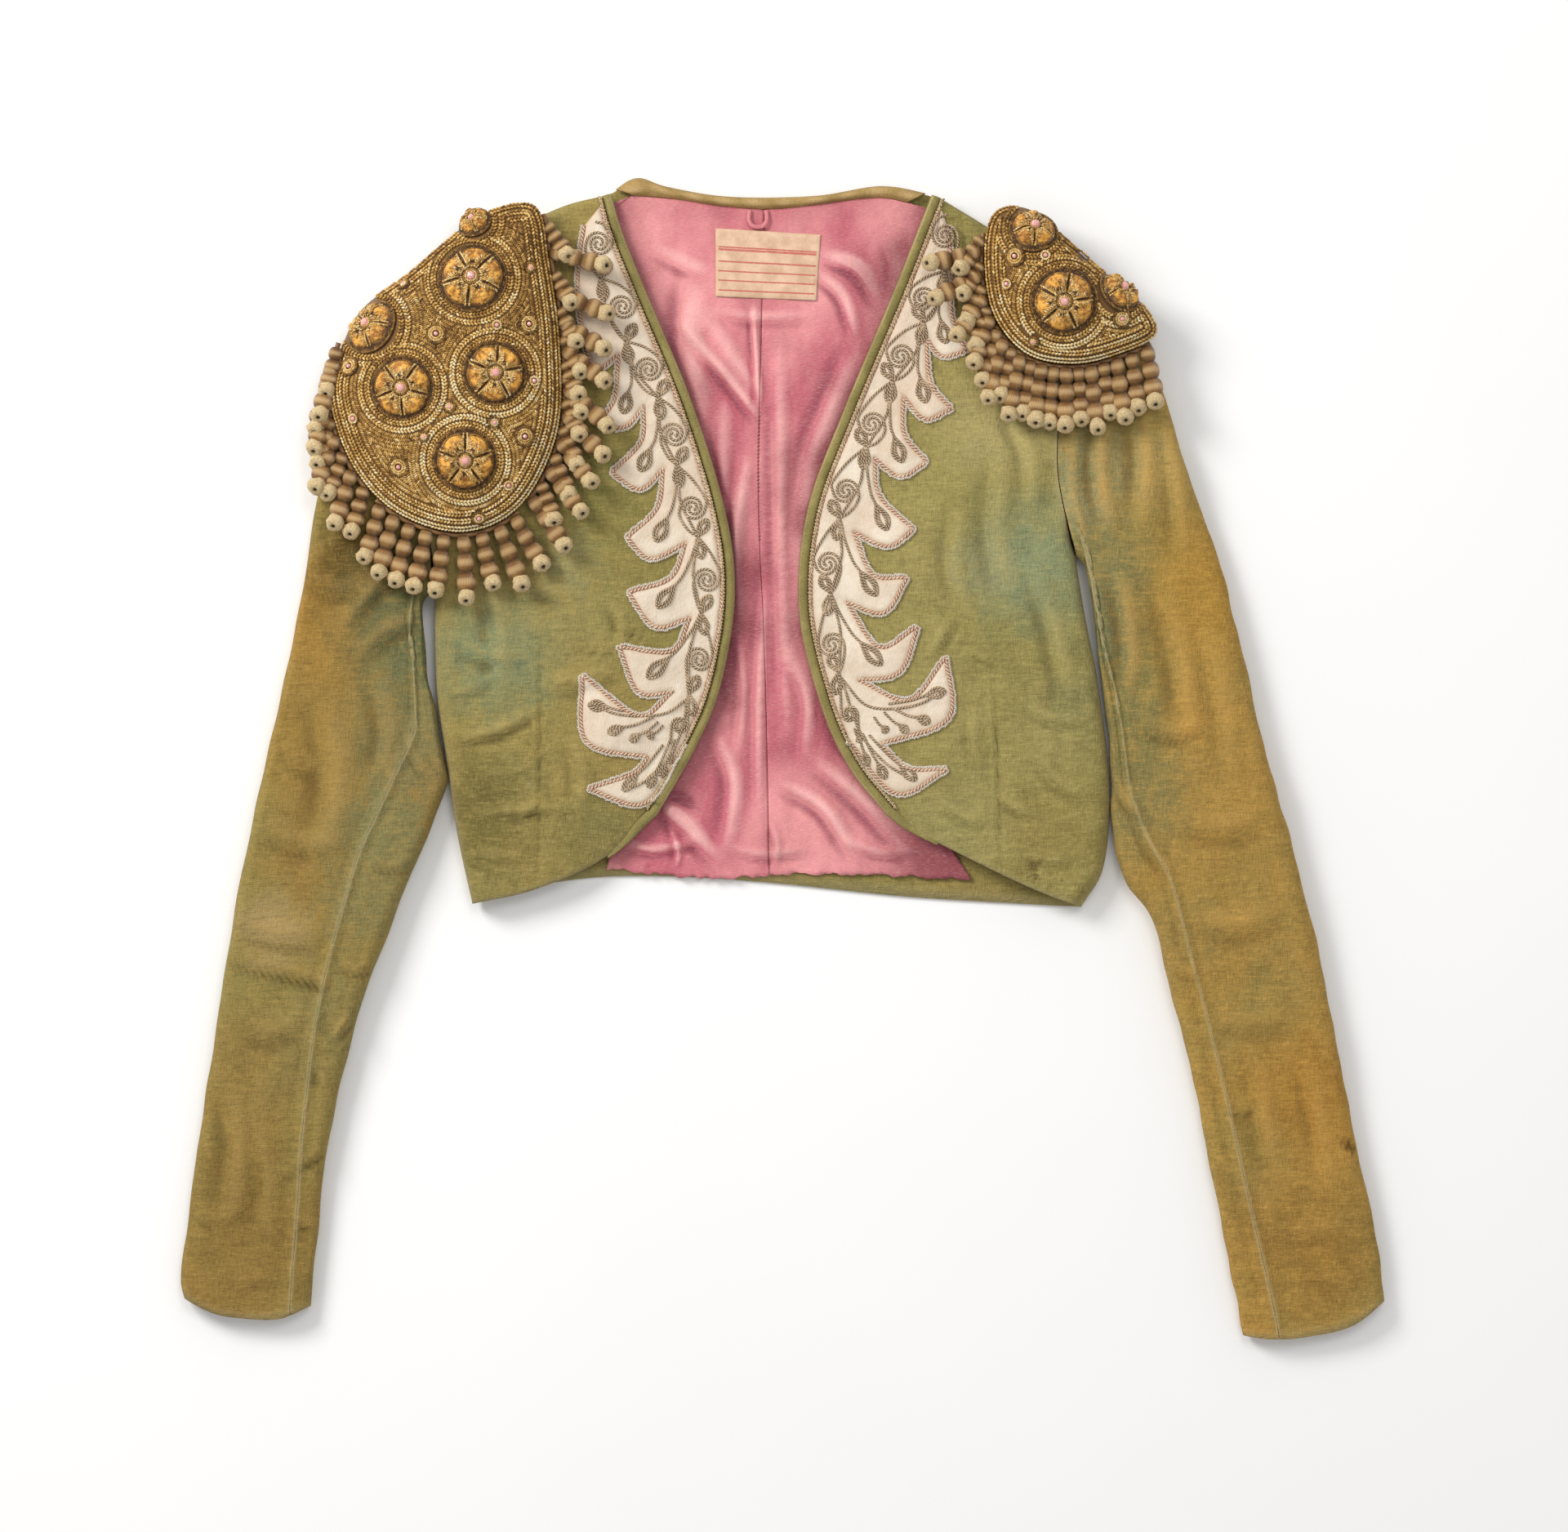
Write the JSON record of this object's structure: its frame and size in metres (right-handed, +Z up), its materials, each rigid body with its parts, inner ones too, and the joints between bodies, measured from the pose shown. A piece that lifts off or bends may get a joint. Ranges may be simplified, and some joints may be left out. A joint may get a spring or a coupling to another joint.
{
  "type": "matador jacket",
  "caption": "Short open velvet jacket laid flat, with long sleeves, satin back lining, scalloped applique bands on both fronts and padded epaulettes with rosettes and beaded fringe.",
  "frame": {"origin": "centre of the footprint on the surface that the jacket lies on", "axes": "+X to the viewer's right across the spread sleeves, +Y from the hem to the neck, +Z up from the surface through the fronts"},
  "size_m": [0.809, 0.7816, 0.0614],
  "materials": {
    "velvet": "faded moss-green cotton velvet with a short nap, rubbed ochre on the sleeves",
    "binding": "paler rubbed velvet binding",
    "satin": "soft pink silk satin, creased",
    "ivory_silk": "ivory silk with couched cord",
    "gold_work": "tarnished gold thread embroidery and plaited braid",
    "petal_leather": "amber leather petals edged with gold coil",
    "silk_beads": "bronze silk wound over beads, with cream tufts"
  },
  "bodies": {
    "root": {"back_panel": "velvet", "front_left": "velvet", "front_right": "velvet", "sleeve_left_upper": "velvet", "sleeve_left_under": "velvet", "sleeve_right_upper": "velvet", "sleeve_right_under": "velvet", "neck_binding": "binding", "edge_binding_left": "binding", "edge_binding_right": "binding", "lining_left": "satin", "lining_right": "satin", "hanger_loop": "satin", "applique_left": "ivory_silk", "applique_right": "ivory_silk", "label": "ivory_silk", "epaulette_left": "gold_work", "epaulette_right": "gold_work", "rosette_left_1": "petal_leather", "rosette_left_2": "petal_leather", "rosette_left_3": "petal_leather", "rosette_left_4": "petal_leather", "rosette_left_5": "petal_leather", "rosette_left_6": "petal_leather", "rosette_right_1": "petal_leather", "rosette_right_2": "petal_leather", "rosette_right_3": "petal_leather", "fringe_left_neck": "silk_beads", "fringe_left_front": "silk_beads", "fringe_left_hem": "silk_beads", "fringe_left_sleeve": "silk_beads", "fringe_right_neck": "silk_beads", "fringe_right_sleeve": "silk_beads"}
  },
  "joints": []
}
